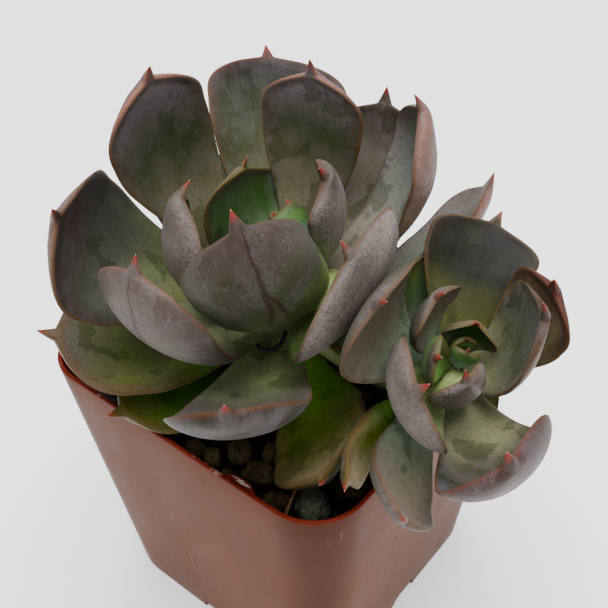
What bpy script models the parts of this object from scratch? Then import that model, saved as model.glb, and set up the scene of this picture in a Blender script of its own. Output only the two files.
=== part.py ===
# A rosette succulent with one offset, growing in a square nursery pot.
# Blender units are metres; the sizes below are millimetres and are scaled where a mesh is made.
# +Z is up. The origin is the middle of the pot's underside, and the pot's sides face X and Y.
import math
import random
from collections import namedtuple

import bmesh
import bpy
from mathutils import Matrix, Vector, noise

MM = 0.001
GAP = 0.3                     # clearance between pieces that touch

# Pot: a thin moulded shell, wider at the top, with rounded corners.
POT_TOP = 63.5                # outer width across the flats at the rim
POT_FOOT = 52.8               # outer width across the flats at the foot
POT_HEIGHT = 57.15
POT_WALL = 0.8
POT_FLOOR = 1.2
CORNER_TOP = 9.1              # outer corner radius at the rim
CORNER_FOOT = 9.5
CORNER_STEPS = 6
FOOT_ROUND = 0.5              # small round at the foot
RIM_ROUND = 0.15
NOTCH_WIDTH = 6.5             # one drain notch at the middle of each side's foot
NOTCH_HEIGHT = 2.5
NOTCH_DEPTH = 5.0
NOTCH_ROUND = 1.5
NOTCH_CLEAR = 2.0             # how far a cutter starts outside the foot
TAB_X = 15.0                  # moulded thumb tab inside the rim of the front wall
TAB_CHORD = 6.2
TAB_REACH = 1.15
TAB_STEPS = 8
TAB_DROP = 0.05               # how far the tab's top lies below the rim

SOIL_TOP = 49.0
SOIL_BULGE = 0.8
SOIL_RINGS = (0.7, 0.35)      # shares of the way out where the top is uneven
SEED = 7

# Main stem, and the offset's stem, which leaves it just above the soil.
STEM_PROFILE = [(46.0, 3.2), (56.0, 2.7), (62.0, 2.6), (67.0, 2.2), (70.0, 0.8)]      # height, radius
OFFSET_RUN = [((3.3, 0.2, 59.0), 1.6), ((9.0, 0.4, 56.8), 1.7), ((16.0, 0.9, 56.0), 1.8),
              ((23.0, 1.5, 57.0), 1.8)]                                              # point, radius
OFFSET_AXIS = [(0.0, 1.6), (4.0, 1.5), (7.0, 1.2), (9.0, 0.5)]                       # height, radius

Rosette = namedtuple("Rosette", "base lean lean_to thickness")
MAIN = Rosette(base=(0.0, 0.0, 56.0), lean=0.0, lean_to=0.0, thickness=3.0)
OFFSET = Rosette(base=(28.5, 2.0, 60.0), lean=22.0, lean_to=-10.0, thickness=2.4)

# One leaf, in its rosette's frame. Angles are degrees.
#   turn    compass direction of the leaf      height  of its heel on the stem
#   reach   heel's distance from the axis      rise    slope at the heel
#   curl    how far it bends up to the tip     length, width
#   roll    twist about its own spine          sway    sideways drift of the tip, over the length
#   cup     how deeply it is troughed          heel    share of the length before it starts to bend
Leaf = namedtuple("Leaf", "turn height reach rise curl length width roll sway cup heel")

# Youngest leaf first.
MAIN_LEAVES = [
    Leaf(-9, 19.5, 3.2, 78, 80, 11.5, 10.0, 20, 0.04, 0.90, 0.31),
    Leaf(-125, 19.4, 2.6, 80, 30, 8.0, 6.0, 0, 0.00, 0.75, 0.36),
    Leaf(134, 19.8, 3.4, 80, 26, 6.0, 4.5, 0, 0.00, 0.80, 0.36),
    Leaf(-173, 17.4, 5.2, 35, 66, 16.5, 29.5, 10, -0.25, 0.20, 0.20),
    Leaf(-51, 18.5, 4.2, -2, 111, 50.5, 23.0, 28, -0.12, 1.15, 0.34),
    Leaf(47, 16.4, 4.2, 60, 64, 22.0, 13.5, -17, -0.15, 0.90, 0.35),
    Leaf(-104, 15.4, 4.0, 18, 114, 40.0, 19.5, -25, 0.00, 0.70, 0.46),
    Leaf(-16, 15.2, 3.6, 12, 101, 35.0, 28.5, 27, -0.14, 0.30, 0.48),
    Leaf(112, 14.0, 4.6, 53, 44, 35.0, 18.5, -13, 0.03, 0.25, 0.53),
    Leaf(-89, 13.4, 3.4, 2, 106, 51.0, 24.5, -1, -0.01, 0.40, 0.50),
    Leaf(50, 10.9, 2.8, 36, 78, 45.0, 21.0, -9, 0.03, 0.70, 0.56),
    Leaf(-163, 10.5, 3.4, 47, 64, 48.5, 22.0, -13, 0.08, 0.25, 0.59),
    Leaf(-61, 10.0, 4.6, 0, 70, 53.5, 20.0, 14, 0.02, 0.45, 0.50),
    Leaf(85, 8.8, 3.6, 34, 33, 38.0, 21.5, 23, 0.10, 0.70, 0.41),
    Leaf(-138, 8.7, 4.0, 20, 72, 48.0, 26.0, -17, 0.25, 0.20, 0.57),
    Leaf(0, 7.2, 2.8, -5, 32, 22.0, 10.0, -1, -0.04, 0.60, 0.46),
    Leaf(-119, 6.7, 3.6, -5, 33, 40.0, 24.5, -10, -0.09, 0.20, 0.36),
    Leaf(133, 6.3, 3.4, 35, 1, 49.5, 28.0, 17, 0.03, 0.50, 0.62),
    Leaf(49, 5.3, 3.2, 9, 54, 42.0, 15.0, -15, 0.16, 0.75, 0.46),
    Leaf(169, 4.3, 3.8, 15, 58, 38.5, 21.0, -1, 0.01, 0.65, 0.48),
    Leaf(-103, 3.0, 3.6, -4, 17, 33.5, 15.5, -12, 0.01, 0.20, 0.47),
    Leaf(100, 2.6, 3.2, 4, 54, 38.0, 21.0, -1, -0.01, 0.60, 0.46),
    Leaf(-34, -0.3, 3.6, -6, 40, 36.0, 17.5, 33, -0.20, 0.45, 0.45),
    Leaf(-156, 1.2, 3.8, -3, 38, 33.0, 15.0, 0, 0.00, 0.60, 0.45),
    Leaf(138, 0.0, 3.6, -6, 46, 35.0, 18.0, 0, 0.00, 0.60, 0.45),
]
OFFSET_LEAVES = [
    Leaf(-66, 9.1, 1.4, 76, 36, 5.0, 4.2, 0, 0.02, 0.85, 0.33),
    Leaf(140, 9.3, 1.0, 84, 26, 4.6, 3.6, 0, 0.00, 0.80, 0.36),
    Leaf(-110, 9.2, 2.0, 34, 51, 16.0, 6.5, -42, 0.19, 0.35, 0.46),
    Leaf(118, 8.2, 1.6, 64, 56, 9.0, 10.0, 0, 0.00, 1.05, 0.36),
    Leaf(-57, 8.0, 1.8, 17, 98, 18.5, 9.5, 42, -0.16, 0.85, 0.40),
    Leaf(-160, 7.8, 2.8, 44, 67, 17.5, 11.5, -18, 0.04, 0.55, 0.39),
    Leaf(28, 6.4, 1.6, 28, 96, 25.0, 17.0, 5, 0.02, 0.50, 0.20),
    Leaf(-97, 6.1, 1.8, 12, 93, 30.5, 17.0, -22, 0.09, 0.70, 0.45),
    Leaf(123, 4.9, 1.6, 29, -10, 26.0, 17.0, -8, -0.15, 0.35, 0.55),
    Leaf(-36, 4.4, 2.2, 14, 93, 40.0, 20.0, 24, -0.22, 0.85, 0.49),
    Leaf(61, 3.9, 3.8, 42, 74, 25.5, 13.5, 1, 0.07, 0.20, 0.42),
    Leaf(-147, 3.6, 2.4, 30, 73, 33.0, 18.5, -26, 0.21, 0.25, 0.45),
    Leaf(-79, 2.3, 2.0, 0, 62, 34.0, 12.0, -18, 0.12, 0.60, 0.57),
    Leaf(14, 0.9, 1.8, -8, 24, 9.5, 7.0, 0, 0.00, 0.60, 0.45),
    Leaf(-102, 0.6, 2.8, 6, 28, 28.0, 6.0, -41, 0.26, 0.20, 0.42),
    Leaf(146, 0.1, 2.0, 23, 29, 22.0, 16.0, 13, -0.05, 0.85, 0.44),
]

RINGS = 11                    # cross-sections along a leaf
SIDES = 10                    # corners in each cross-section
SMALL_LEAF = 12.0             # leaves shorter than this have fewer sections
SMALL_RINGS = 7
SMALL_SIDES = 8
FULL_LENGTH = 20.0            # a leaf this long has its rosette's full thickness
WIDEST = 0.58                 # where along the leaf it is widest
WAIST = 0.34                  # width at the heel, over the greatest width
TIP_BEND = 0.28               # share of the length that points along the tip's slope
MUCRO_SHARPNESS = 3.4         # how suddenly the rounded end runs out into its point
ROUNDING = 0.85               # below 1 flattens the faces of a section and firms its edges
UPPER_SHARE = 0.25            # share of the thickness above the spine; the rest is the belly

# Pumice on the soil, near the front corner: place, then half-axes, then turn.
STONES = [
    ((0.5, -26.6), (2.0, 1.8, 1.5), 10), ((4.0, -26.0), (1.5, 2.0, 1.4), 60),
    ((7.4, -22.8), (2.7, 2.2, 1.9), 150), ((11.5, -19.6), (1.9, 2.4, 1.6), 20),
    ((12.9, -24.2), (3.1, 2.1, 2.0), 35), ((8.8, -27.2), (1.8, 1.2, 1.0), 170),
    ((17.0, -21.4), (2.2, 2.1, 1.6), 100), ((18.2, -26.2), (2.4, 1.7, 1.6), 30),
    ((23.4, -24.0), (3.5, 2.8, 2.3), 110), ((25.6, -17.2), (3.0, 2.3, 1.7), 45),
    ((21.6, -17.8), (1.5, 1.3, 1.2), 0), ((-6.6, -25.8), (2.6, 2.0, 1.7), 75),
    ((-13.4, -25.2), (2.3, 2.7, 1.6), 130),
]
THREAD = [(7.6, -17.2, 71.0), (8.6, -17.5, 70.8), (9.6, -17.0, 70.8), (10.2, -15.6, 70.8), (10.0, -14.0, 70.8), (9.2, -12.4, 71.0)]
THREAD_RADIUS = 0.35
STRAW = [(20.4, -24.2, 53.6), (20.8, -26.2, 52.6), (21.2, -28.2, 51.0)]
STRAW_RADIUS = 0.3

# Base colour, roughness.
FINISHES = {
    "dusky_leaf": ((0.13, 0.10, 0.09), 0.55),
    "green_leaf": ((0.12, 0.20, 0.08), 0.50),
    "stem_flesh": ((0.36, 0.42, 0.18), 0.60),
    "terracotta_plastic": ((0.27, 0.13, 0.10), 0.45),
    "potting_soil": ((0.02, 0.017, 0.013), 0.95),
    "pumice": ((0.13, 0.12, 0.08), 0.90),
    "dry_matter": ((0.16, 0.09, 0.04), 0.80),
}


def clear_scene():
    for thing in list(bpy.data.objects):
        bpy.data.objects.remove(thing, do_unlink=True)


def finish(name):
    material = bpy.data.materials.get(name)
    if material is None:
        colour, roughness = FINISHES[name]
        material = bpy.data.materials.new(name)
        material.use_nodes = True
        shader = material.node_tree.nodes["Principled BSDF"]
        shader.inputs["Base Color"].default_value = (*colour, 1.0)
        shader.inputs["Roughness"].default_value = roughness
        shader.inputs["Metallic"].default_value = 0.0
    return material


def add_object(name, bm, finish_name, sharp=math.radians(50)):
    """Turn a bmesh in millimetres into a closed, outward-facing, smooth-shaded object."""
    bmesh.ops.recalc_face_normals(bm, faces=bm.faces)
    if bm.calc_volume(signed=True) < 0:
        bmesh.ops.reverse_faces(bm, faces=bm.faces)
    bmesh.ops.scale(bm, vec=(MM, MM, MM), verts=bm.verts)
    mesh = bpy.data.meshes.new(name)
    bm.to_mesh(mesh)
    bm.free()
    mesh.shade_smooth()
    mesh.set_sharp_from_angle(angle=sharp)
    mesh.materials.append(finish(finish_name))
    piece = bpy.data.objects.new(name, mesh)
    bpy.context.scene.collection.objects.link(piece)
    return piece


def bridge(bm, rings):
    """Join closed rings of the same count into a tube."""
    for lower, upper in zip(rings, rings[1:]):
        count = len(lower)
        for i in range(count):
            j = (i + 1) % count
            bm.faces.new((lower[i], lower[j], upper[j], upper[i]))


def cap(bm, ring, centre):
    """Close a ring with a fan, to its middle or to a point such as a leaf's tip."""
    middle = bm.verts.new(centre)
    for i, corner in enumerate(ring):
        bm.faces.new((corner, ring[(i + 1) % len(ring)], middle))


def pot_half(z):
    return (POT_FOOT + (POT_TOP - POT_FOOT) * z / POT_HEIGHT) / 2


def pot_corner(z):
    return CORNER_FOOT + (CORNER_TOP - CORNER_FOOT) * z / POT_HEIGHT


def pot_ring(bm, z, inset=0.0):
    """A rounded square at height z, moved in from the pot's outer face by inset."""
    half = pot_half(z) - inset
    radius = pot_corner(z) - inset
    ring = []
    for quarter, (sx, sy) in enumerate([(1, 1), (-1, 1), (-1, -1), (1, -1)]):
        for step in range(CORNER_STEPS + 1):
            angle = math.radians(90) * (quarter + step / CORNER_STEPS)
            x = sx * (half - radius) + radius * math.cos(angle)
            y = sy * (half - radius) + radius * math.sin(angle)
            ring.append(bm.verts.new((x, y, z)))
    return ring


def hide_blank(blank):
    """A blank only shapes the pot: it isn't part of the object."""
    blank.hide_render = True
    blank.display_type = "WIRE"
    return blank


def notch_cutter(index, turn):
    """A bar with rounded upper edges that runs in through one side's foot."""
    outer = POT_FOOT / 2 + NOTCH_CLEAR
    inner = POT_FOOT / 2 - NOTCH_DEPTH
    bm = bmesh.new()
    bmesh.ops.create_cube(bm, size=1.0)
    bmesh.ops.scale(bm, vec=(outer - inner, NOTCH_WIDTH, 2 * NOTCH_HEIGHT), verts=bm.verts)
    upper = [edge for edge in bm.edges
             if all(corner.co.z > 0 for corner in edge.verts) and edge.verts[0].co.y == edge.verts[1].co.y]
    bmesh.ops.bevel(bm, geom=upper, offset=NOTCH_ROUND, segments=4, affect="EDGES", profile=0.5)
    bmesh.ops.translate(bm, vec=((outer + inner) / 2, 0, 0), verts=bm.verts)
    bmesh.ops.rotate(bm, matrix=Matrix.Rotation(math.radians(turn), 3, "Z"), verts=bm.verts)
    return hide_blank(add_object(f"notch_cutter_{index}", bm, "terracotta_plastic"))


def thumb_tab():
    """A circular segment that hangs inside the rim of the front wall."""
    radius = (TAB_CHORD ** 2 / 4 + TAB_REACH ** 2) / (2 * TAB_REACH)
    half_angle = math.asin(TAB_CHORD / 2 / radius)
    inner = -(pot_half(POT_HEIGHT) - POT_WALL)
    centre_y = inner + TAB_REACH - radius
    bm = bmesh.new()
    outline = [(TAB_X + TAB_CHORD / 2, inner - POT_WALL / 2), (TAB_X - TAB_CHORD / 2, inner - POT_WALL / 2)]
    arc = []
    for step in range(TAB_STEPS + 1):
        angle = math.radians(90) - half_angle + 2 * half_angle * step / TAB_STEPS
        arc.append((TAB_X + radius * math.cos(angle), centre_y + radius * math.sin(angle)))
    points = [outline[0]] + arc + [outline[1]]
    low = [bm.verts.new((x, y, POT_HEIGHT - POT_WALL)) for x, y in points]
    high = [bm.verts.new((x, y, POT_HEIGHT - TAB_DROP)) for x, y in points]
    bm.faces.new(low)
    bm.faces.new(high)
    bridge(bm, [low, high])
    return hide_blank(add_object("rim_tab_blank", bm, "terracotta_plastic"))


def build_pot():
    bm = bmesh.new()
    rings = [pot_ring(bm, 0.0, inset=FOOT_ROUND), pot_ring(bm, FOOT_ROUND), pot_ring(bm, POT_HEIGHT - RIM_ROUND),
             pot_ring(bm, POT_HEIGHT, inset=RIM_ROUND), pot_ring(bm, POT_HEIGHT, inset=POT_WALL - RIM_ROUND),
             pot_ring(bm, POT_HEIGHT - RIM_ROUND, inset=POT_WALL), pot_ring(bm, POT_FLOOR, inset=POT_WALL)]
    bridge(bm, rings)
    cap(bm, rings[0], (0, 0, 0))
    cap(bm, rings[-1], (0, 0, POT_FLOOR))
    pot = add_object("pot", bm, "terracotta_plastic", sharp=math.radians(35))

    join = pot.modifiers.new("thumb tab", "BOOLEAN")
    join.operation = "UNION"
    join.solver = "EXACT"
    join.object = thumb_tab()
    for index, turn in enumerate((0, 90, 180, 270), start=1):
        cut = pot.modifiers.new(f"drain notch {index}", "BOOLEAN")
        cut.operation = "DIFFERENCE"
        cut.solver = "EXACT"
        cut.object = notch_cutter(index, turn)
    return pot


def build_soil():
    """Fills the pot from its floor, with a slightly uneven top."""
    bm = bmesh.new()
    inset = POT_WALL + GAP
    foot = POT_FLOOR + GAP
    rings = [pot_ring(bm, foot, inset=inset), pot_ring(bm, SOIL_TOP, inset=inset)]
    for share in SOIL_RINGS:
        ring = []
        for corner in rings[1]:
            x, y = corner.co.x * share, corner.co.y * share
            lift = SOIL_BULGE * (noise.noise(Vector((x, y, SEED)) * 0.12) - 0.4)
            ring.append(bm.verts.new((x, y, SOIL_TOP + lift)))
        rings.append(ring)
    bridge(bm, rings)
    cap(bm, rings[0], (0, 0, foot))
    # The stem stands in a round socket, whose corners start in line with the first pot corner.
    socket = STEM_PROFILE[0][1] + 2 * GAP
    count = len(rings[-1])
    rim = []
    for i in range(count):
        angle = math.radians(45) + 2 * math.pi * (i - CORNER_STEPS / 2) / count
        rim.append(bm.verts.new((socket * math.cos(angle), socket * math.sin(angle), SOIL_TOP - GAP)))
    well = [bm.verts.new((corner.co.x, corner.co.y, STEM_PROFILE[0][0] - GAP)) for corner in rim]
    bridge(bm, [rings[-1], rim, well])
    cap(bm, well, (0, 0, STEM_PROFILE[0][0] - GAP))
    return add_object("soil", bm, "potting_soil")


def tube(name, path, finish_name, sides=10):
    """A closed tube through (point, radius) pairs."""
    bm = bmesh.new()
    points = [Vector(point) for point, radius in path]
    across = None
    rings = []
    for i, (point, (unused, radius)) in enumerate(zip(points, path)):
        along = (points[min(i + 1, len(points) - 1)] - points[max(i - 1, 0)]).normalized()
        start = along.orthogonal() if across is None else across
        across = (start - along * start.dot(along)).normalized()
        other = along.cross(across)
        rings.append([bm.verts.new(point + radius * (math.cos(turn) * across + math.sin(turn) * other))
                      for turn in (2 * math.pi * side / sides for side in range(sides))])
    bridge(bm, rings)
    cap(bm, rings[0], points[0])
    cap(bm, rings[-1], points[-1])
    return add_object(name, bm, finish_name)


def rosette_frame(rosette):
    """Leans the rosette's upright frame towards lean_to and moves it to its base."""
    towards = math.radians(rosette.lean_to)
    hinge = Vector((-math.sin(towards), math.cos(towards), 0))
    lean = Matrix.Rotation(math.radians(rosette.lean), 4, hinge)
    return Matrix.Translation(rosette.base) @ lean


def build_stems():
    tube("main_stem", [((0, 0, z), radius) for z, radius in STEM_PROFILE], "stem_flesh", sides=12)
    frame = rosette_frame(OFFSET)
    axis = [(frame @ Vector((0, 0, height)), radius) for height, radius in OFFSET_AXIS]
    tube("offset_stem", OFFSET_RUN + axis, "stem_flesh")


def clamp(value, low, high):
    return max(low, min(high, value))


def half_width(t, width):
    """A narrow heel, a broad shoulder, and a rounded end that runs out into a small point."""
    if t < WIDEST:
        swell = math.sin(math.pi / 2 * t / WIDEST) ** 1.6
        return (WAIST + (1 - WAIST) * swell) * width / 2
    u = (t - WIDEST) / (1 - WIDEST)
    return math.sqrt(max(0.0, 1 - u * u)) * (1 - u ** MUCRO_SHARPNESS) * width / 2


def thickness_at(t, full):
    plump = 0.62 + 0.38 * math.sin(math.pi * min(t / 0.75, 1))
    return full * plump * clamp((1 - t) / 0.12, 0, 1) ** 0.6


def leaf_spine(leaf):
    """Bezier handles of the spine, as distance out and height, from the leaf's heel."""
    def slope(angle):
        return Vector((math.cos(math.radians(angle)), math.sin(math.radians(angle))))
    first = leaf.heel * leaf.length * slope(leaf.rise)
    last = TIP_BEND * leaf.length * slope(leaf.rise + leaf.curl)
    middle = (1 - leaf.heel - TIP_BEND) * leaf.length * slope(leaf.rise + leaf.curl / 2)
    return Vector((0, 0)), first, first + middle, first + middle + last


def section_corners(sides):
    """Corners of a firm-edged oval, as -1 to 1 across and through the leaf."""
    corners = []
    for side in range(sides):
        angle = 2 * math.pi * side / sides
        across = math.copysign(abs(math.cos(angle)) ** ROUNDING, math.cos(angle))
        through = math.copysign(abs(math.sin(angle)) ** ROUNDING, math.sin(angle))
        corners.append((across, through * (UPPER_SHARE if through > 0 else 1 - UPPER_SHARE)))
    return corners


def leaf_section(leaf, rosette, t, sides):
    """The centre and the corners of the cross-section at t, from 0 at the heel to 1 at the tip."""
    turn = math.radians(leaf.turn)
    out = Vector((math.cos(turn), math.sin(turn), 0))
    side = Vector((-math.sin(turn), math.cos(turn), 0))
    up = Vector((0, 0, 1))
    p0, p1, p2, p3 = leaf_spine(leaf)
    point = (1 - t) ** 3 * p0 + 3 * (1 - t) ** 2 * t * p1 + 3 * (1 - t) * t * t * p2 + t ** 3 * p3
    slope = ((1 - t) ** 2 * (p1 - p0) + 2 * (1 - t) * t * (p2 - p1) + t * t * (p3 - p2)).normalized()
    centre = leaf.height * up + (leaf.reach + point.x) * out + point.y * up + leaf.sway * leaf.length * t * t * side
    along = (slope.x * out + slope.y * up + 2 * leaf.sway * t * side).normalized()
    across = (side - along.dot(side) * along).normalized()
    normal = along.cross(across)
    roll = math.radians(leaf.roll) * clamp(2 * t, 0, 1)
    across, normal = (math.cos(roll) * across + math.sin(roll) * normal,
                      math.cos(roll) * normal - math.sin(roll) * across)

    width = half_width(t, leaf.width)
    thick = thickness_at(t, rosette.thickness * clamp(leaf.length / FULL_LENGTH, 0.5, 1))
    trough = leaf.cup * clamp(t / 0.45, 0.25, 1)
    corners = []
    for s, v in section_corners(sides):
        bend = trough * s
        x = width * math.sin(bend) / trough - math.sin(bend) * v * thick
        y = width * (1 - math.cos(bend)) / trough + math.cos(bend) * v * thick
        corners.append(centre + x * across + y * normal)
    return centre, corners


def build_leaf(name, leaf, rosette, finish_name):
    small = leaf.length < SMALL_LEAF
    sides = SMALL_SIDES if small else SIDES
    rings = SMALL_RINGS if small else RINGS
    frame = rosette_frame(rosette)
    bm = bmesh.new()
    loops = []
    for ring in range(rings):
        t = 1 - (1 - ring / rings) ** 1.25                       # closer together towards the tip
        centre, corners = leaf_section(leaf, rosette, t, sides)
        loops.append([bm.verts.new(frame @ corner) for corner in corners])
        if ring == 0:
            heel = frame @ centre
    tip = frame @ leaf_section(leaf, rosette, 1.0, sides)[0]
    bridge(bm, loops)
    cap(bm, loops[0], heel)
    cap(bm, loops[-1], tip)
    return add_object(name, bm, finish_name)


def build_leaves():
    for index, leaf in enumerate(MAIN_LEAVES):
        colour = "green_leaf" if leaf.length < FULL_LENGTH else "dusky_leaf"
        build_leaf(f"main_leaf_{index + 1:02d}", leaf, MAIN, colour)
    for index, leaf in enumerate(OFFSET_LEAVES):
        colour = "green_leaf" if leaf.length < FULL_LENGTH else "dusky_leaf"
        build_leaf(f"offset_leaf_{index + 1:02d}", leaf, OFFSET, colour)


def build_stone(index, place, half_axes, turn):
    """A worn lump of pumice lying on the soil."""
    rng = random.Random(SEED + index)
    bm = bmesh.new()
    bmesh.ops.create_icosphere(bm, subdivisions=1, radius=1.0)
    offset = Vector((rng.uniform(-9, 9), rng.uniform(-9, 9), rng.uniform(-9, 9)))
    for corner in bm.verts:
        corner.co *= 1 + 0.16 * noise.noise(corner.co * 1.4 + offset)
        corner.co = Vector((corner.co.x * half_axes[0], corner.co.y * half_axes[1], corner.co.z * half_axes[2]))
    bmesh.ops.rotate(bm, matrix=Matrix.Rotation(math.radians(turn), 3, "Z"), verts=bm.verts)
    lowest = min(corner.co.z for corner in bm.verts)
    bmesh.ops.translate(bm, vec=(place[0], place[1], SOIL_TOP + GAP - lowest), verts=bm.verts)
    return add_object(f"pumice_{index + 1:02d}", bm, "pumice")


def build_litter():
    for index, (place, half_axes, turn) in enumerate(STONES):
        build_stone(index, place, half_axes, turn)
    tube("dried_thread", [(point, THREAD_RADIUS) for point in THREAD], "dry_matter", sides=6)
    tube("dry_straw", [(point, STRAW_RADIUS) for point in STRAW], "dry_matter", sides=6)


clear_scene()
build_pot()
build_soil()
build_stems()
build_leaves()
build_litter()
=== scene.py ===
import math

import bmesh
import bpy
from mathutils import Matrix, Vector


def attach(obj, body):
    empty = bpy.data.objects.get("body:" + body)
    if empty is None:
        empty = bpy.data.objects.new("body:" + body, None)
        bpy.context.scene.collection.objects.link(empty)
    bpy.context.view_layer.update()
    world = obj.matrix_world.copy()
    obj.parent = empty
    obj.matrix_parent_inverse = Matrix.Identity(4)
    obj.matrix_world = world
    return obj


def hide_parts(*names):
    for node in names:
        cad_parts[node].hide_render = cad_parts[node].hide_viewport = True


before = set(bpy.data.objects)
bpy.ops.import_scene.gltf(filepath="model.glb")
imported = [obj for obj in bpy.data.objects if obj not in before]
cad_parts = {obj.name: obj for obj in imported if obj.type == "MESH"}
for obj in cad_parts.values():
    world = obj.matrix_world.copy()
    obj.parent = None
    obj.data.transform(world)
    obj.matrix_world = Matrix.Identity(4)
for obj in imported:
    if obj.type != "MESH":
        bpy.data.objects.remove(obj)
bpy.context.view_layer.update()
mm = 0.001
print("frame loaded,", len(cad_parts), "nodes")


# Camera, about a point in the heart of the plant. Lengths are millimetres, angles degrees.
cameraSettings = {
    "azimuth": 40.05, "elevation": 40.31, "roll": -1.74,
    "target": (0.06, 3.05, 61.48), "distance": 161.76, "lens": 54.77,
}


def placeCamera(settings):
    azimuth, elevation, roll = (math.radians(settings[key]) for key in ("azimuth", "elevation", "roll"))
    back = Vector((math.sin(azimuth) * math.cos(elevation), -math.cos(azimuth) * math.cos(elevation),
                   math.sin(elevation)))
    level = Vector((math.cos(azimuth), math.sin(azimuth), 0))
    upright = back.cross(level)
    right = math.cos(roll) * level + math.sin(roll) * upright
    up = math.cos(roll) * upright - math.sin(roll) * level
    camera = bpy.data.objects.new("camera", bpy.data.cameras.new("camera"))
    bpy.context.scene.collection.objects.link(camera)
    camera.data.lens = settings["lens"]
    camera.data.clip_start, camera.data.clip_end = 0.01, 20
    turn = Matrix((right, up, back)).transposed().to_4x4()
    place = (Vector(settings["target"]) + settings["distance"] * back) * mm
    camera.matrix_world = Matrix.Translation(place) @ turn
    bpy.context.scene.camera = camera


placeCamera(cameraSettings)


# Node helpers. A Term is a number or vector on its way through a node tree,
# so a rule can be written as a formula.
class Term:
    def __init__(self, tree, socket):
        self.tree, self.socket = tree, socket

    def calculate(self, operation, *others):
        node = addNode(self.tree, "ShaderNodeMath", operation=operation)
        for socket, value in zip(node.inputs, (self,) + others):
            feed(self.tree, value, socket)
        return Term(self.tree, node.outputs[0])

    def __add__(self, other):
        return self.calculate("ADD", other)

    def __radd__(self, other):
        return self.calculate("ADD", other)

    def __sub__(self, other):
        return self.calculate("SUBTRACT", other)

    def __rsub__(self, other):
        return self.calculate("MULTIPLY_ADD", -1.0, other)

    def __mul__(self, other):
        return self.calculate("MULTIPLY", other)

    def __rmul__(self, other):
        return self.calculate("MULTIPLY", other)

    def __truediv__(self, other):
        return self.calculate("DIVIDE", other)

    def __pow__(self, other):
        return self.calculate("POWER", other)

    def vector(self, operation, *others):
        node = addNode(self.tree, "ShaderNodeVectorMath", operation=operation)
        for socket, value in zip(node.inputs, (self,) + others):
            feed(self.tree, value, socket)
        return Term(self.tree, node.outputs["Value" if operation in ("DOT_PRODUCT", "LENGTH") else "Vector"])

    def scaled(self, factor):
        node = addNode(self.tree, "ShaderNodeVectorMath", operation="SCALE")
        feed(self.tree, self, node.inputs[0])
        feed(self.tree, factor, node.inputs["Scale"])
        return Term(self.tree, node.outputs[0])

    def parts(self):
        node = addNode(self.tree, "ShaderNodeSeparateXYZ")
        feed(self.tree, self, node.inputs[0])
        return [Term(self.tree, socket) for socket in node.outputs]


def addNode(tree, kind, **settings):
    node = tree.nodes.new(kind)
    column, row = divmod(len(tree.nodes), 12)
    node.location = (column * 220, -row * 190)
    for key, value in settings.items():
        setattr(node, key, value)
    return node


def feed(tree, value, socket):
    if isinstance(value, Term):
        tree.links.new(value.socket, socket)
    else:
        socket.default_value = value


def sine(term):
    return term.calculate("SINE")


def cosine(term):
    return term.calculate("COSINE")


def clamped(term, low=0.0, high=1.0):
    return term.calculate("MAXIMUM", low).calculate("MINIMUM", high)


def fade(term, start, end):    # 0 at start, 1 at end, smooth between
    node = addNode(term.tree, "ShaderNodeMapRange", interpolation_type="SMOOTHSTEP")
    feed(term.tree, term, node.inputs["Value"])
    if start < end:
        node.inputs["From Min"].default_value, node.inputs["From Max"].default_value = start, end
        return Term(term.tree, node.outputs[0])
    node.inputs["From Min"].default_value, node.inputs["From Max"].default_value = end, start
    node.inputs["To Min"].default_value, node.inputs["To Max"].default_value = 1, 0
    return Term(term.tree, node.outputs[0])


def joined(tree, x, y, z):
    node = addNode(tree, "ShaderNodeCombineXYZ")
    for socket, value in zip(node.inputs, (x, y, z)):
        feed(tree, value, socket)
    return Term(tree, node.outputs[0])


def noiseAt(vector, scale, detail=2.0, roughness=0.5):
    node = addNode(vector.tree, "ShaderNodeTexNoise")
    feed(vector.tree, vector, node.inputs["Vector"])
    node.inputs["Scale"].default_value = scale
    node.inputs["Detail"].default_value = detail
    node.inputs["Roughness"].default_value = roughness
    return Term(vector.tree, node.outputs[0])


def cellsAt(vector, scale):    # distance to the nearest of scattered points
    node = addNode(vector.tree, "ShaderNodeTexVoronoi")
    feed(vector.tree, vector, node.inputs["Vector"])
    node.inputs["Scale"].default_value = scale
    return Term(vector.tree, node.outputs[0])


def blended(factor, first, second):
    tree = factor.tree
    node = addNode(tree, "ShaderNodeMix", data_type="RGBA", clamp_factor=True)
    feed(tree, factor, node.inputs["Factor"])
    feed(tree, first, node.inputs["A_Color" if "A_Color" in node.inputs else 6])
    feed(tree, second, node.inputs["B_Color" if "B_Color" in node.inputs else 7])
    return Term(tree, node.outputs[2])


def colour(red, green, blue):  # screen values from 0 to 255
    def linear(value):
        value /= 255
        return value / 12.92 if value <= 0.04045 else ((value + 0.055) / 1.055) ** 2.4
    return (linear(red), linear(green), linear(blue), 1.0)


def startMaterial(name, roughness, specular=0.5):
    material = bpy.data.materials.new(name)
    material.use_nodes = True
    shader = material.node_tree.nodes["Principled BSDF"]
    shader.inputs["Roughness"].default_value = roughness
    shader.inputs["Specular IOR Level"].default_value = specular
    place = addNode(material.node_tree, "ShaderNodeTexCoord")
    return material, shader, Term(material.node_tree, place.outputs["Object"])


def readAttribute(tree, name):
    node = addNode(tree, "ShaderNodeAttribute", attribute_name=name)
    return Term(tree, node.outputs["Vector"])


def addBump(shader, height, strength, distance):
    tree = height.tree
    node = addNode(tree, "ShaderNodeBump")
    node.inputs["Strength"].default_value = strength
    node.inputs["Distance"].default_value = distance
    feed(tree, height, node.inputs["Height"])
    tree.links.new(node.outputs[0], shader.inputs["Normal"])


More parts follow.
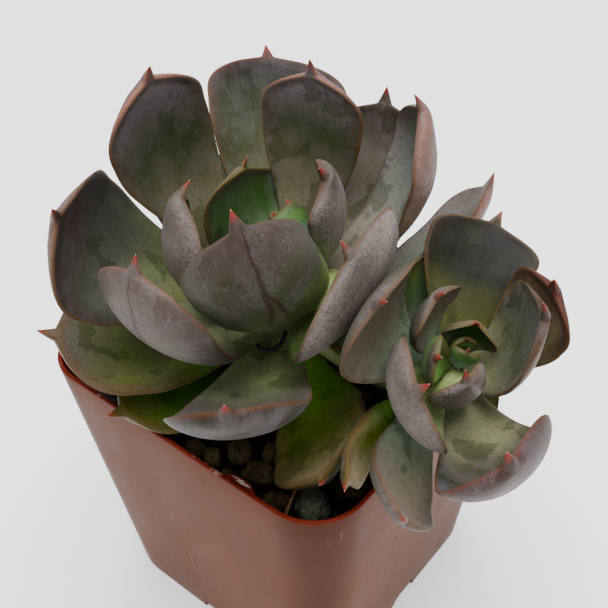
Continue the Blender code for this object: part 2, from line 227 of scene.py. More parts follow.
def startTree(name, inputs):
    tree = bpy.data.node_groups.new(name, "GeometryNodeTree")
    tree.interface.new_socket("Geometry", in_out="OUTPUT", socket_type="NodeSocketGeometry")
    kinds = {float: "NodeSocketFloat", int: "NodeSocketInt", tuple: "NodeSocketVector"}
    identifiers = {}
    for label, value in inputs.items():
        kind = "NodeSocketMaterial" if value is None else kinds[type(value)]
        socket = tree.interface.new_socket(label, in_out="INPUT", socket_type=kind)
        if value is not None:
            socket.default_value = value
        identifiers[label] = socket.identifier
    entry = addNode(tree, "NodeGroupInput")
    terms = {label: Term(tree, entry.outputs[label]) for label in inputs}
    return tree, identifiers, terms


def passOn(tree, kind, geometry, **values):    # geometry through one node, its inputs by name
    settings = {"data_type": "FLOAT_VECTOR"} if kind.endswith("NamedAttribute") else {}
    node = addNode(tree, kind, **settings)
    tree.links.new(geometry, node.inputs[0])
    for label, value in values.items():
        feed(tree, value, node.inputs[label])
    return node.outputs[0]


def endTree(tree, geometry, material):
    realized = passOn(tree, "GeometryNodeRealizeInstances", geometry)
    finished = passOn(tree, "GeometryNodeSetMaterial", realized, Material=material)
    tree.links.new(finished, addNode(tree, "NodeGroupOutput").inputs[0])


def growPiece(name, tree, identifiers, values):
    holder = bpy.data.objects.new(name + "Maker", bpy.data.meshes.new(name + "Start"))
    modifier = holder.modifiers.new(tree.name, "NODES")
    modifier.node_group = tree
    for label, value in values.items():
        modifier[identifiers[label]] = value
    bpy.context.scene.collection.objects.link(holder)
    bpy.context.view_layer.update()
    grown = holder.evaluated_get(bpy.context.evaluated_depsgraph_get())
    mesh = bpy.data.meshes.new_from_object(grown)
    mesh.name = name
    holder.modifiers.clear()
    bpy.data.objects.remove(holder)
    piece = bpy.data.objects.new(name, mesh)
    bpy.context.scene.collection.objects.link(piece)
    return piece


def settle(piece, slotName, *nodes):
    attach(piece, "root")
    if nodes:
        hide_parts(*nodes)


# Leaf skin. Every leaf carries two attributes: leafPlace is (across -1 to 1, along 0 to 1,
# face 1 above and -1 below), and leafSkin is (millimetres from the midline, from the tip, from the margin).
# Each tone: upper side and underside from heel to tip, margin, band beside the margin, and how strong
# the bloom, the speckle and the crease are. The stops mix each leaf's own colours with painted light and
# shade, so some tones are lit and shaded copies of one skin: near-black stops are painted shade, and the
# pale heels of mist, lilac and mauve are partly painted light.
toneParts = ("upper", "under", "margin", "band", "bloom", "speckle", "crease")
toneRows = {
    # dusk: the dark middle of the upper side is painted shade, and the pale lilac tip is partly a painted
    # reflection over the tip's own purple.
    "dusk": (((98, 94, 70), (50, 52, 32), (110, 100, 106)), ((100, 102, 80), (96, 86, 82), (92, 78, 76)),
        (126, 84, 66), (66, 54, 46), 0.25, 0.5, 0),
    # slateRose: the near-black tip of the upper side is painted shade.
    "slateRose": (((106, 104, 54), (44, 48, 30), (16, 10, 10)), ((100, 102, 80), (96, 86, 82), (92, 78, 76)),
        (98, 40, 26), (72, 56, 52), 0.35, 0.4, 0),
    "umber": (((130, 128, 102), (78, 74, 60), (46, 36, 38)), ((110, 112, 92), (112, 102, 98), (112, 98, 96)),
        (52, 36, 30), (80, 64, 58), 0.35, 0.4, 0),
    "ember": (((120, 128, 76), (60, 62, 54), (52, 38, 40)), ((96, 104, 76), (112, 102, 98), (112, 98, 96)),
        (92, 66, 50), (52, 40, 38), 0.25, 0.6, 0),
    # charcoal: a leaf lying in shade, its upper side painted near black beyond a green heel: painted shade.
    "charcoal": (((68, 72, 28), (12, 14, 4), (10, 6, 4)), ((96, 104, 76), (96, 84, 80), (96, 80, 78)),
        (88, 68, 44), (40, 32, 26), 0.08, 0.6, 0),
    "maroon": (((74, 64, 40), (104, 94, 64), (104, 74, 60)), ((70, 62, 46), (66, 46, 40), (66, 42, 36)),
        (76, 40, 32), (50, 34, 28), 0.15, 0.5, 0),
    "sage": (((110, 112, 78), (60, 64, 44), (98, 90, 94)), ((84, 72, 42), (84, 60, 38), (60, 32, 18)),
        (50, 42, 32), (84, 78, 66), 0.4, 0.4, 0),
    "lime": (((126, 128, 94), (44, 42, 30), (48, 46, 48)), ((100, 104, 70), (76, 58, 56), (56, 38, 34)),
        (82, 46, 36), (62, 62, 66), 0.35, 0.5, 0),
    # mist: the pale heel of the upper side is painted light, and the near-black middle of the underside is
    # painted shade.
    "mist": (((150, 166, 104), (72, 68, 58), (48, 46, 44)), ((52, 50, 34), (16, 14, 12), (40, 32, 22)),
        (74, 46, 28), (64, 58, 60), 0.35, 0.4, 0),
    "moss": (((88, 138, 18), (78, 88, 12), (150, 126, 98)), ((70, 78, 34), (90, 84, 48), (24, 20, 12)),
        (74, 58, 28), (112, 92, 48), 0.15, 0.5, 0),
    "fern": (((58, 136, 8), (90, 98, 40), (74, 70, 62)), ((96, 108, 66), (112, 116, 86), (120, 110, 84)),
        (74, 54, 30), (92, 70, 50), 0.3, 0.5, 0),
    # olive: the near-black heel of the upper side is painted shade, deep in the rosette.
    "olive": (((10, 16, 4), (42, 74, 4), (66, 66, 6)), ((70, 84, 30), (90, 94, 44), (100, 92, 50)),
        (54, 48, 14), (78, 66, 20), 0.15, 0.4, 0),
    "steel": (((126, 120, 104), (106, 108, 102), (96, 90, 80)),
        ((134, 114, 80), (102, 78, 68), (118, 84, 74)),
        (72, 50, 38), (112, 98, 96), 0.35, 0.3, 0),
    "pewter": (((114, 134, 108), (100, 90, 72), (80, 60, 42)), ((74, 72, 52), (70, 70, 56), (82, 74, 70)),
        (86, 62, 44), (84, 76, 66), 0.25, 0.5, 0),
    "plum": (((90, 106, 62), (62, 66, 48), (72, 62, 58)), ((152, 170, 80), (54, 56, 36), (60, 46, 42)),
        (76, 58, 46), (70, 58, 52), 0.25, 0.8, 0.85),
    # lilac: the pale heel of the upper side is partly painted light.
    "lilac": (((152, 162, 112), (124, 126, 90), (96, 88, 84)), ((66, 68, 44), (72, 66, 58), (80, 66, 58)),
        (96, 66, 52), (80, 68, 64), 0.4, 0.45, 0.6),
    # mauve: the pale heel of the upper side is partly painted light.
    "mauve": (((138, 154, 92), (90, 122, 54), (76, 66, 56)), ((148, 140, 140), (124, 112, 106), (78, 66, 60)),
        (86, 64, 46), (74, 60, 56), 0.35, 0.7, 0),
    "cup": (((106, 128, 94), (38, 68, 22), (36, 42, 14)), ((104, 120, 70), (92, 88, 66), (96, 84, 66)),
        (80, 70, 34), (58, 52, 28), 0.25, 0.3, 0),
    "bud": (((46, 66, 22), (104, 160, 64), (80, 66, 44)), ((132, 156, 172), (72, 106, 50), (52, 30, 24)),
        (88, 84, 52), (100, 96, 66), 0.2, 0.2, 0),
}
leafTones = {name: dict(zip(toneParts, row)) for name, row in toneRows.items()}

leafSkinSettings = {
    "marginStart": 0.85, "marginFull": 0.1,     # millimetres from the edge
    "sideMargin": (76, 52, 28), "bandWidth": 3.4,
    "mucroStart": 2.3, "mucroFull": 0.3, "mucro": (124, 38, 28), "mucroEnd": (206, 170, 150),
    "bloomColour": (118, 110, 116), "bareColour": (36, 40, 20),
    "speckColour": (44, 32, 26), "creaseColour": (46, 22, 14),
}


def threeStops(position, stops, places):
    first = blended(fade(position, places[0], places[1]), colour(*stops[0]), colour(*stops[1]))
    return blended(fade(position, places[1], places[2]), first, colour(*stops[2]))


def leafMaterial(toneName, tone, settings):
    material, shader, place = startMaterial("leafSkin" + toneName[0].upper() + toneName[1:], 0.5, 0.12)
    tree = material.node_tree
    across, along, face = readAttribute(tree, "leafPlace").parts()
    fromMidline, fromTip, fromMargin = readAttribute(tree, "leafSkin").parts()
    cloud = noiseAt(place, 85, 3, 0.55)
    patch = noiseAt(place, 230, 5, 0.62)
    grain = noiseAt(place, 2600, 3, 0.65)
    streak = noiseAt(joined(tree, fromMidline * 1.7, fromTip * 0.14, 0.0), 1.0, 4, 0.62)

    shift = along + (cloud - 0.5) * 0.40 + (streak - 0.5) * 0.08
    upper = threeStops(shift, tone["upper"], (0.1, 0.52, 0.95))
    under = threeStops(shift, tone["under"], (0.2, 0.6, 0.95))
    band = fade(fromMargin + (patch - 0.5) * 2.2, settings["bandWidth"], 0.7) * fade(along, 0.3, 0.65)
    upper = blended(band * 0.8, upper, colour(*tone["band"]))

    # Wax bloom: a pale powder, brushed thin in streaks and rubbed off in patches with a clear edge.
    rubbed = fade(noiseAt(place, 120, 4, 0.5), 0.565, 0.585)
    bloom = fade(patch + (streak - 0.5) * 0.35, 0.36, 0.66) * (1 - rubbed * 0.8) * tone["bloom"]
    upper = blended(rubbed * 0.4, upper, colour(*settings["bareColour"]))
    upper = blended(bloom * 0.45, upper, colour(*settings["bloomColour"]))
    under = blended(bloom * 0.8, under, colour(*settings["bloomColour"]))
    specks = fade(grain + (patch - 0.5) * 0.4, 0.50, 0.64) * tone["speckle"]
    under = blended(specks * 0.75, under, colour(*settings["speckColour"]))
    upper = blended(specks * 0.35, upper, colour(*settings["speckColour"]))

    # A dry crease down the back of some leaves, which forks.
    if tone["crease"]:
        wander = (noiseAt(joined(tree, 0.0, along * 9.0, 0.0), 1.0, 2) - 0.5) * 0.14
        fork = clamped(0.72 - along) * 0.5
        near = (across + wander).calculate("ABSOLUTE") - fork
        line = fade(near.calculate("ABSOLUTE"), 0.045, 0.01) * fade(along, 0.45, 0.62) * fade(fromTip, 1.5, 4)
        under = blended(line * tone["crease"], under, colour(*settings["creaseColour"]))

    skin = blended(fade(face, -0.12, 0.12), under, upper)
    mottle = fade(noiseAt(place, 1100, 5, 0.72), 0.46, 0.66)
    skin = blended(mottle * 0.28, skin, colour(*settings["bareColour"]))
    edge = fade(fromMargin + (patch - 0.5) * 0.9, settings["marginStart"], settings["marginFull"])
    rim = blended(fade(along, 0.62, 0.92), colour(*settings["sideMargin"]), colour(*tone["margin"]))
    skin = blended(edge * fade(along, 0.1, 0.5) * (0.55 + cloud * 0.5), skin, rim)
    fromPoint = joined(tree, fromMidline, fromTip, 0.0).vector("LENGTH")
    mucro = fade(fromPoint, settings["mucroStart"], settings["mucroFull"]) * fade(along, 0.78, 0.94)
    skin = blended(mucro * 0.92, skin, colour(*settings["mucro"]))
    paleEnd = fade(fromPoint, 0.45, 0.15) * fade(along, 0.93, 0.98) * 0.5
    skin = blended(paleEnd, skin, colour(*settings["mucroEnd"]))
    tree.links.new(skin.socket, shader.inputs["Base Color"])

    feed(tree, 0.42 + bloom * 0.35 - rubbed * 0.05 + (grain - 0.5) * 0.12, shader.inputs["Roughness"])
    shader.inputs["Sheen Weight"].default_value = 0.03
    shader.inputs["Sheen Roughness"].default_value = 0.4
    shader.inputs["Sheen Tint"].default_value = colour(214, 208, 212)
    addBump(shader, grain * 0.6 + streak * 0.8 + patch * 0.5, 0.4, 0.00012)
    return material


leafMaterials = {name: leafMaterial(name, tone, leafSkinSettings) for name, tone in leafTones.items()}
print("leaf materials:", len(leafMaterials))


# Leaf shape. One rule gives every leaf: a curved spine, a width that swells and runs out into a point,
# and a plump troughed section.
leafRule = {
    "widest": 0.58, "waist": 0.34, "tipBend": 0.28, "shoulderCurve": 3.2, "flare": 1.12,
    "pointLength": 2.7, "pointSlope": 0.40,          # millimetres, and half width gained for each of them
    "rounding": 0.85, "edgeTaper": 1.5, "upperShare": 0.25, "fullLength": 20.0,
    "rings": 112, "sides": 56, "rimLift": 0.16, "ripple": 0.35, "weld": 0.002,
}


def makeLeafTree(rule):
    inputs = {"Turn": 0.0, "Height": 0.0, "Reach": 3.0, "Rise": 10.0, "Curl": 60.0,
              "Length": 40.0, "Width": 20.0, "Roll": 0.0, "Sway": 0.0, "Cup": 0.5, "Heel": 0.4,
              "Thickness": 3.0, "Base": (0.0, 0.0, 0.0), "Lean": 0.0, "Lean To": 0.0,
              "Rings": rule["rings"], "Sides": rule["sides"], "Seed": 1.0, "Material": None}
    tree, identifiers, given = startTree("rosetteLeaf", inputs)
    grid = addNode(tree, "GeometryNodeMeshGrid")
    grid.inputs["Size X"].default_value = 1
    grid.inputs["Size Y"].default_value = 1
    feed(tree, given["Rings"], grid.inputs["Vertices X"])
    feed(tree, given["Sides"], grid.inputs["Vertices Y"])
    flat = Term(tree, addNode(tree, "GeometryNodeInputPosition").outputs[0])
    u, v = flat.parts()[:2]
    along = 1 - (0.5 - u) ** 1.5
    angle = (v + 0.5) * (-2 * math.pi)

    def degrees(term):
        return term * (math.pi / 180)

    # Spine, as distance out and height, from the heel.
    length, heel = given["Length"], given["Heel"]
    startSlope, endSlope = degrees(given["Rise"]), degrees(given["Rise"] + given["Curl"])
    middleSlope = degrees(given["Rise"] + given["Curl"] * 0.5)
    spine, slope = [], []
    for direction in (cosine, sine):
        first = heel * length * direction(startSlope)
        second = first + (1 - rule["tipBend"] - heel) * length * direction(middleSlope)
        third = second + length * rule["tipBend"] * direction(endSlope)
        rest = 1 - along
        spine.append(3 * rest * rest * along * first + 3 * rest * along * along * second
                     + along * along * along * third)
        slope.append(rest * rest * first + 2 * rest * along * (second - first)
                     + along * along * (third - second))
    steepness = (slope[0] * slope[0] + slope[1] * slope[1]).calculate("SQRT")
    drift = given["Sway"] * along
    forward = joined(tree, slope[0] / steepness, 2 * drift, slope[1] / steepness).vector("NORMALIZE")
    sideways = joined(tree, 0.0, 1.0, 0.0)
    across = sideways.vector("SUBTRACT", forward.scaled(forward.vector("DOT_PRODUCT", sideways)))
    across = across.vector("NORMALIZE")
    outward = forward.vector("CROSS_PRODUCT", across)
    roll = degrees(given["Roll"]) * clamped(2 * along)
    rolledAcross = across.scaled(cosine(roll)).vector("ADD", outward.scaled(sine(roll)))
    rolledOutward = outward.scaled(cosine(roll)).vector("SUBTRACT", across.scaled(sine(roll)))

    # Outline: a swelling blade with sloping shoulders, which flare into a sharp point.
    pointLength = clamped(length / 25, 0.35, 1.1) * rule["pointLength"]
    beyondLength = length * ((1 - rule["widest"]) * 3 * rule["tipBend"])

    def halfWidth(t):
        swell = sine(clamped(t / rule["widest"]) * (math.pi / 2)) ** 1.6
        beyond = clamped((t - rule["widest"]) / (1 - rule["widest"]))
        shoulder = 1 - clamped(beyond / (1 - pointLength / beyondLength)) ** rule["shoulderCurve"]
        left = (1 - beyond) * beyondLength
        point = left.calculate("MINIMUM", pointLength * 1.6) * (1 - clamped((left / pointLength - 1.6) / 3.5))
        point = point * rule["pointSlope"] / (given["Width"] * 0.5)
        outline = (shoulder ** rule["flare"] + point ** rule["flare"]) ** (1 / rule["flare"])
        return (rule["waist"] + swell * (1 - rule["waist"])) * outline * given["Width"] * 0.5

    width = halfWidth(along)
    plump = 0.62 + 0.38 * sine(clamped(along / 0.75) * math.pi)
    full = given["Thickness"] * clamped(length / rule["fullLength"], 0.5, 1.0)
    thick = (full * plump * clamped((1 - along) / 0.12) ** 0.6).calculate("MINIMUM", width * 1.25)
    heelRound = 1 - clamped(along / 0.02)
    heelRound = (1 - heelRound * heelRound).calculate("MAXIMUM", 0.0).calculate("SQRT")
    trough = given["Cup"] * clamped(along / 0.45, 0.25, 1.0)

    def flattened(term):
        return term.calculate("ABSOLUTE") ** rule["rounding"] * term.calculate("SIGN")

    s = flattened(cosine(angle))
    face = flattened(sine(angle))
    aboveFace = face.calculate("MAXIMUM", 0.0)
    belowFace = face.calculate("MINIMUM", 0.0)
    taper = (halfWidth(along + 0.004) - halfWidth(along - 0.004)) / (length * 0.008)
    through = aboveFace * rule["upperShare"] + belowFace * (1 - rule["upperShare"])
    through = through * face.calculate("ABSOLUTE") ** (rule["edgeTaper"] - 1)
    inset = (1 - s.calculate("ABSOLUTE")) * width / (1 + taper * taper).calculate("SQRT")
    edgeGap = (inset * inset + through * through * thick * thick).calculate("SQRT")
    bend = trough * s
    x = (width * sine(bend) / trough - sine(bend) * through * thick) * heelRound
    y = (width * (1 - cosine(bend)) / trough + cosine(bend) * through * thick) * heelRound
    # The upper face is a little raised beside its margin, and the skin ripples.
    rimFace = fade(edgeGap, 2.2, 0.5) * fade(edgeGap, 0.0, 0.4)
    rimFace = rimFace * clamped(aboveFace * 3) * fade(along, 0.25, 0.6)
    y = y + rimFace * rule["rimLift"] * clamped(thick - 0.8) * fade(along, 0.99, 0.93)
    centre = joined(tree, given["Reach"] + spine[0], drift * along * length, given["Height"] + spine[1])
    point = centre.vector("ADD", rolledAcross.scaled(x)).vector("ADD", rolledOutward.scaled(y))
    wave = noiseAt(point.vector("ADD", joined(tree, given["Seed"] * 7.3, 0.0, 0.0)), 0.11, 2) - 0.5
    lift = wave * rule["ripple"] * fade(along, 0.1, 0.5) * fade(along, 0.98, 0.88)
    point = point.vector("ADD", rolledOutward.scaled(lift))

    def rotated(vector, angleTerm, axis=None):
        node = addNode(tree, "ShaderNodeVectorRotate", rotation_type="AXIS_ANGLE" if axis else "Z_AXIS")
        feed(tree, vector, node.inputs["Vector"])
        feed(tree, angleTerm, node.inputs["Angle"])
        if axis:
            feed(tree, axis, node.inputs["Axis"])
        return Term(tree, node.outputs[0])

    leanTo = degrees(given["Lean To"])
    hinge = joined(tree, -1 * sine(leanTo), cosine(leanTo), 0.0)
    point = rotated(rotated(point, degrees(given["Turn"])), degrees(given["Lean"]), hinge)
    point = point.vector("ADD", given["Base"])

    placeValue = joined(tree, s, along, face)
    skinValue = joined(tree, s * width, (1 - along) * length, edgeGap)
    geometry = grid.outputs["Mesh"]
    for name, value in (("leafPlace", placeValue), ("leafSkin", skinValue)):
        geometry = passOn(tree, "GeometryNodeStoreNamedAttribute", geometry, Name=name, Value=value)
    moved = passOn(tree, "GeometryNodeSetPosition", geometry, Position=point)
    welded = passOn(tree, "GeometryNodeMergeByDistance", moved, Distance=rule["weld"])
    shrunk = passOn(tree, "GeometryNodeTransform", welded, Scale=(mm, mm, mm))
    endTree(tree, passOn(tree, "GeometryNodeSetShadeSmooth", shrunk), given["Material"])
    return tree, identifiers


mainRosette = {"Base": (0.0, 0.0, 56.0), "Lean": 0.0, "Lean To": 0.0, "Thickness": 3.0}
offsetRosette = {"Base": (28.5, 2.0, 60.0), "Lean": 22.0, "Lean To": -10.0, "Thickness": 2.4}
leafColumns = ("Turn", "Height", "Reach", "Rise", "Curl", "Length", "Width", "Roll", "Sway", "Cup", "Heel")

# Youngest leaf first: its tone, then the columns above.
mainLeaves = [
    ("bud", -9, 19.5, 3.2, 78, 80, 11.5, 10, 20, 0.04, 0.9, 0.31),
    ("bud", -125, 19.4, 2.6, 80, 30, 8, 6, 0, 0, 0.75, 0.36),
    ("bud", 134, 19.8, 3.4, 80, 26, 6, 4.5, 0, 0, 0.8, 0.36),
    ("cup", -173, 17.4, 5.2, 35, 66, 16.5, 29.5, 10, -0.25, 0.2, 0.2),
    ("plum", -51, 18.5, 4.2, -2, 111, 50.5, 23, 28, -0.12, 1.15, 0.34),
    ("mauve", 47, 16.4, 4.2, 60, 64, 22, 13.5, -17, -0.15, 0.9, 0.35),
    ("mauve", -104, 15.4, 4, 18, 114, 40, 19.5, -25, 0, 0.7, 0.46),
    ("mauve", -16, 15.2, 3.6, 12, 101, 35, 28.5, 27, -0.14, 0.3, 0.48),
    ("dusk", 112, 14, 4.6, 53, 44, 35, 18.5, -13, 0.03, 0.25, 0.53),
    ("lilac", -89, 13.4, 3.4, 2, 106, 51, 24.5, -1, -0.01, 0.4, 0.5),
    ("steel", 50, 10.9, 2.8, 36, 78, 45, 21, -9, 0.03, 0.7, 0.56),
    ("dusk", -163, 10.5, 3.4, 47, 64, 48.5, 22, -13, 0.08, 0.25, 0.59),
    ("mist", -61, 10, 4.6, 0, 70, 53.5, 20, 14, 0.02, 0.45, 0.5),
    ("umber", 85, 8.8, 3.6, 34, 33, 38, 21.5, 23, 0.1, 0.7, 0.41),
    ("ember", -138, 8.7, 4, 20, 72, 48, 26, -17, 0.25, 0.2, 0.57),
    ("olive", 0, 7.2, 2.8, -5, 32, 22, 10, -1, -0.04, 0.6, 0.46),
    ("fern", -119, 6.7, 3.6, -5, 33, 40, 24.5, -10, -0.09, 0.2, 0.36),
    ("slateRose", 133, 6.3, 3.4, 35, 1, 49.5, 28, 17, 0.03, 0.5, 0.62),
    ("steel", 49, 5.3, 3.2, 9, 54, 42, 15, -15, 0.16, 0.75, 0.46),
    ("dusk", 169, 4.3, 3.8, 15, 58, 38.5, 21, -1, 0.01, 0.65, 0.48),
    ("olive", -103, 3, 3.6, -4, 17, 33.5, 15.5, -12, 0.01, 0.2, 0.47),
    ("dusk", 100, 2.6, 3.2, 4, 54, 38, 21, -1, -0.01, 0.6, 0.46),
    ("moss", -34, -0.3, 3.6, -6, 40, 36, 17.5, 33, -0.2, 0.45, 0.45),
    ("ember", -156, 1.2, 3.8, -3, 38, 33, 15, 0, 0, 0.6, 0.45),
    ("ember", 138, 0, 3.6, -6, 46, 35, 18, 0, 0, 0.6, 0.45),
]
offsetLeaves = [
    ("bud", -66, 9.1, 1.4, 76, 36, 5, 4.2, 0, 0.02, 0.85, 0.33),
    ("bud", 140, 9.3, 1, 84, 26, 4.6, 3.6, 0, 0, 0.8, 0.36),
    ("bud", -110, 9.2, 2, 34, 51, 16, 6.5, -42, 0.19, 0.35, 0.46),
    ("cup", 118, 8.2, 1.6, 64, 56, 9, 10, 0, 0, 1.05, 0.36),
    ("mauve", -57, 8, 1.8, 17, 98, 18.5, 9.5, 42, -0.16, 0.85, 0.4),
    ("pewter", -160, 7.8, 2.8, 44, 67, 17.5, 11.5, -18, 0.04, 0.55, 0.39),
    ("sage", 28, 6.4, 1.6, 28, 96, 25, 17, 5, 0.02, 0.5, 0.2),
    ("mauve", -97, 6.1, 1.8, 12, 93, 30.5, 17, -22, 0.09, 0.7, 0.45),
    # This leaf's tone is painted shade.
    ("charcoal", 123, 4.9, 1.6, 29, -10, 26, 17, -8, -0.15, 0.35, 0.55),
    ("lime", -36, 4.4, 2.2, 14, 93, 40, 20, 24, -0.22, 0.85, 0.49),
    ("maroon", 61, 3.9, 3.8, 42, 74, 25.5, 13.5, 1, 0.07, 0.2, 0.42),
    ("pewter", -147, 3.6, 2.4, 30, 73, 33, 18.5, -26, 0.21, 0.25, 0.45),
    ("pewter", -79, 2.3, 2, 0, 62, 34, 12, -18, 0.12, 0.6, 0.57),
    ("olive", 14, 0.9, 1.8, -8, 24, 9.5, 7, 0, 0, 0.6, 0.45),
    ("moss", -102, 0.6, 2.8, 6, 28, 28, 6, -41, 0.26, 0.2, 0.42),
    ("olive", 146, 0.1, 2, 23, 29, 22, 16, 13, -0.05, 0.85, 0.44),
]


def growLeaves(rosette, leaves, label, node, leafTree, identifiers):
    for number, (tone, *values) in enumerate(leaves, start=1):
        shape = dict(zip(leafColumns, map(float, values)))
        shape.update(rosette)
        small = shape["Length"] < 12
        shape["Rings"] = leafRule["rings"] // (2 if small else 1)
        shape["Sides"] = leafRule["sides"] // (2 if small else 1) + 1
        shape["Seed"] = float(number)
        shape["Material"] = leafMaterials[tone]
        leaf = growPiece(f"{label}{number:02d}", leafTree, identifiers, shape)
        settle(leaf, "green_leaf" if shape["Length"] < leafRule["fullLength"] else "dusky_leaf",
               f"{node}_{number:02d}")


leafTree, leafIdentifiers = makeLeafTree(leafRule)
growLeaves(mainRosette, mainLeaves, "mainLeaf", "main_leaf", leafTree, leafIdentifiers)
growLeaves(offsetRosette, offsetLeaves, "offsetLeaf", "offset_leaf", leafTree, leafIdentifiers)
print("leaves grown:", len(mainLeaves) + len(offsetLeaves))


# Pot, a thin moulded shell.
potSettings = {
    "top": 63.5, "foot": 52.8, "height": 57.15, "wall": 0.8, "floor": 1.2,
    "cornerTop": 9.1, "cornerFoot": 9.5, "cornerSteps": 14,
    "notchWidth": 6.5, "notchHeight": 2.5, "notchDepth": 5.0, "notchRound": 1.5,
    "tabX": 15.0, "tabChord": 6.2, "tabReach": 1.15,
}


def meshPiece(name, bm, material, sharp=40):
    bmesh.ops.remove_doubles(bm, verts=bm.verts, dist=0.001)
    bmesh.ops.recalc_face_normals(bm, faces=bm.faces)
    if bm.calc_volume(signed=True) < 0:
        bmesh.ops.reverse_faces(bm, faces=bm.faces)
    bmesh.ops.scale(bm, vec=(mm, mm, mm), verts=bm.verts)
    mesh = bpy.data.meshes.new(name)
    bm.to_mesh(mesh)
    bm.free()
    mesh.shade_smooth()
    mesh.set_sharp_from_angle(angle=math.radians(sharp))
    mesh.materials.append(material)
    piece = bpy.data.objects.new(name, mesh)
    bpy.context.scene.collection.objects.link(piece)
    return piece


def bridgeRings(bm, rings):
    for lower, upper in zip(rings, rings[1:]):
        for i in range(len(lower)):
            j = (i + 1) % len(lower)
            bm.faces.new((lower[i], lower[j], upper[j], upper[i]))


def closeRing(bm, ring, centre):
    middle = bm.verts.new(centre)
    for i, corner in enumerate(ring):
        bm.faces.new((corner, ring[(i + 1) % len(ring)], middle))


def squareRing(bm, pot, z, inset, straightSteps=5):
    share = z / pot["height"]
    half = (pot["foot"] + (pot["top"] - pot["foot"]) * share) / 2 - inset
    radius = pot["cornerFoot"] + (pot["cornerTop"] - pot["cornerFoot"]) * share - inset
    outline = []
    for quarter, (sx, sy) in enumerate([(1, 1), (-1, 1), (-1, -1), (1, -1)]):
        for step in range(pot["cornerSteps"] + 1):
            angle = math.pi / 2 * (quarter + step / pot["cornerSteps"])
            outline.append(Vector((sx * (half - radius) + radius * math.cos(angle),
                                   sy * (half - radius) + radius * math.sin(angle), z)))
    ring = []
    for i, point in enumerate(outline):
        ring.append(bm.verts.new(point))
        if i % (pot["cornerSteps"] + 1) == pot["cornerSteps"]:
            following = outline[(i + 1) % len(outline)]
            for step in range(1, straightSteps):
                ring.append(bm.verts.new(point.lerp(following, step / straightSteps)))
    return ring


def applyBooleans(piece, cutters):
    for cutter, operation in cutters:
        modifier = piece.modifiers.new(cutter.name, "BOOLEAN")
        modifier.operation, modifier.solver, modifier.object = operation, "EXACT", cutter
    bpy.context.view_layer.update()
    made = bpy.data.meshes.new_from_object(piece.evaluated_get(bpy.context.evaluated_depsgraph_get()))
    piece.modifiers.clear()
    old, piece.data = piece.data, made
    bpy.data.meshes.remove(old)
    for cutter, operation in cutters:
        bpy.data.objects.remove(cutter)


def makePotMaterial(pot):
    material, shader, place = startMaterial("terracottaPlastic", 0.42, 0.045)
    tree = material.node_tree
    x, y, z = place.parts()
    normal = Term(tree, addNode(tree, "ShaderNodeNewGeometry").outputs["Normal"])
    up = normal.parts()[2]
    haze = noiseAt(place, 28, 3, 0.6)
    smudge = noiseAt(place.vector("MULTIPLY", (1.0, 1.0, 0.45)), 150, 4, 0.65)
    scratch = noiseAt(place.vector("MULTIPLY", (1.0, 1.0, 0.08)), 900, 2, 0.6)
    fine = noiseAt(place, 2600, 2, 0.5)
    cloud = fade(haze + (smudge - 0.5) * 0.3, 0.35, 0.68)
    shell = blended(cloud, colour(85, 46, 29), colour(97, 56, 37))
    # Painted shade and reflection: the rounded corners get a darker red-brown band, set by closeness to the
    # corner.
    across = x.calculate("ABSOLUTE").calculate("MINIMUM", y.calculate("ABSOLUTE"))
    corner = fade(across, 0.0185, 0.0275)
    shell = blended(corner * 0.8, shell, colour(62, 26, 13))
    shell = blended(fade(smudge, 0.60, 0.72) * 0.4, shell, colour(72, 37, 24))
    shell = blended(fade(scratch, 0.70, 0.78) * 0.3, shell, colour(150, 112, 96))
    rim = fade(z, (pot["height"] - 0.4) * mm, (pot["height"] - 0.2) * mm)
    inside = fade(up, -0.02, 0.05) * (1 - rim)
    shell = blended(clamped(inside + rim), shell, colour(92, 28, 14))
    shell = blended(rim * fade(smudge, 0.58, 0.66) * 0.55, shell, colour(178, 140, 124))
    tabX = (x - pot["tabX"] * mm) / (pot["tabChord"] * 0.28 * mm)
    tabY = (y + (pot["top"] / 2 - pot["wall"] - pot["tabReach"] * 0.45) * mm) / (pot["tabReach"] * 0.3 * mm)
    worn = fade(tabX * tabX + tabY * tabY, 1.3, 0.4) * fade(fine, 0.44, 0.54) * rim
    shell = blended(worn, shell, colour(196, 178, 170))
    tree.links.new(shell.socket, shader.inputs["Base Color"])
    feed(tree, 0.42 + (smudge - 0.5) * 0.25 + inside * 0.1, shader.inputs["Roughness"])
    addBump(shader, fine * 0.5 + haze * 0.5 + scratch * 0.3, 0.25, 0.0001)
    return material


def makePot(pot):
    material = makePotMaterial(pot)
    bm = bmesh.new()
    rings = []
    lip = pot["wall"] / 2
    for step in range(5):                      # rounded foot
        angle = math.pi / 2 * step / 4
        rings.append(squareRing(bm, pot, 0.7 * (1 - math.cos(angle)), 0.7 * (1 - math.sin(angle))))
    for share in (0.12, 0.3, 0.5, 0.7, 0.88):
        rings.append(squareRing(bm, pot, pot["height"] * share, 0))
    for step in range(9):                      # rolled lip
        angle = math.pi * step / 8
        rings.append(squareRing(bm, pot, pot["height"] - lip * (1 - math.sin(angle)),
                                lip * (1 - math.cos(angle))))
    for share in (0.85, 0.6, 0.3):
        rings.append(squareRing(bm, pot, pot["height"] * share, pot["wall"]))
    rings.append(squareRing(bm, pot, pot["floor"], pot["wall"]))
    bridgeRings(bm, rings)
    closeRing(bm, rings[0], (0, 0, 0))
    closeRing(bm, rings[-1], (0, 0, pot["floor"]))
    piece = meshPiece("nurseryPot", bm, material, 35)
    cutters = [(makeTab(pot, material), "UNION")]
    for index in range(4):
        cutters.append((makeNotchCutter(pot, index, material), "DIFFERENCE"))
    applyBooleans(piece, cutters)
    piece.data.shade_smooth()
    piece.data.set_sharp_from_angle(angle=math.radians(35))
    settle(piece, "terracotta_plastic", "pot")


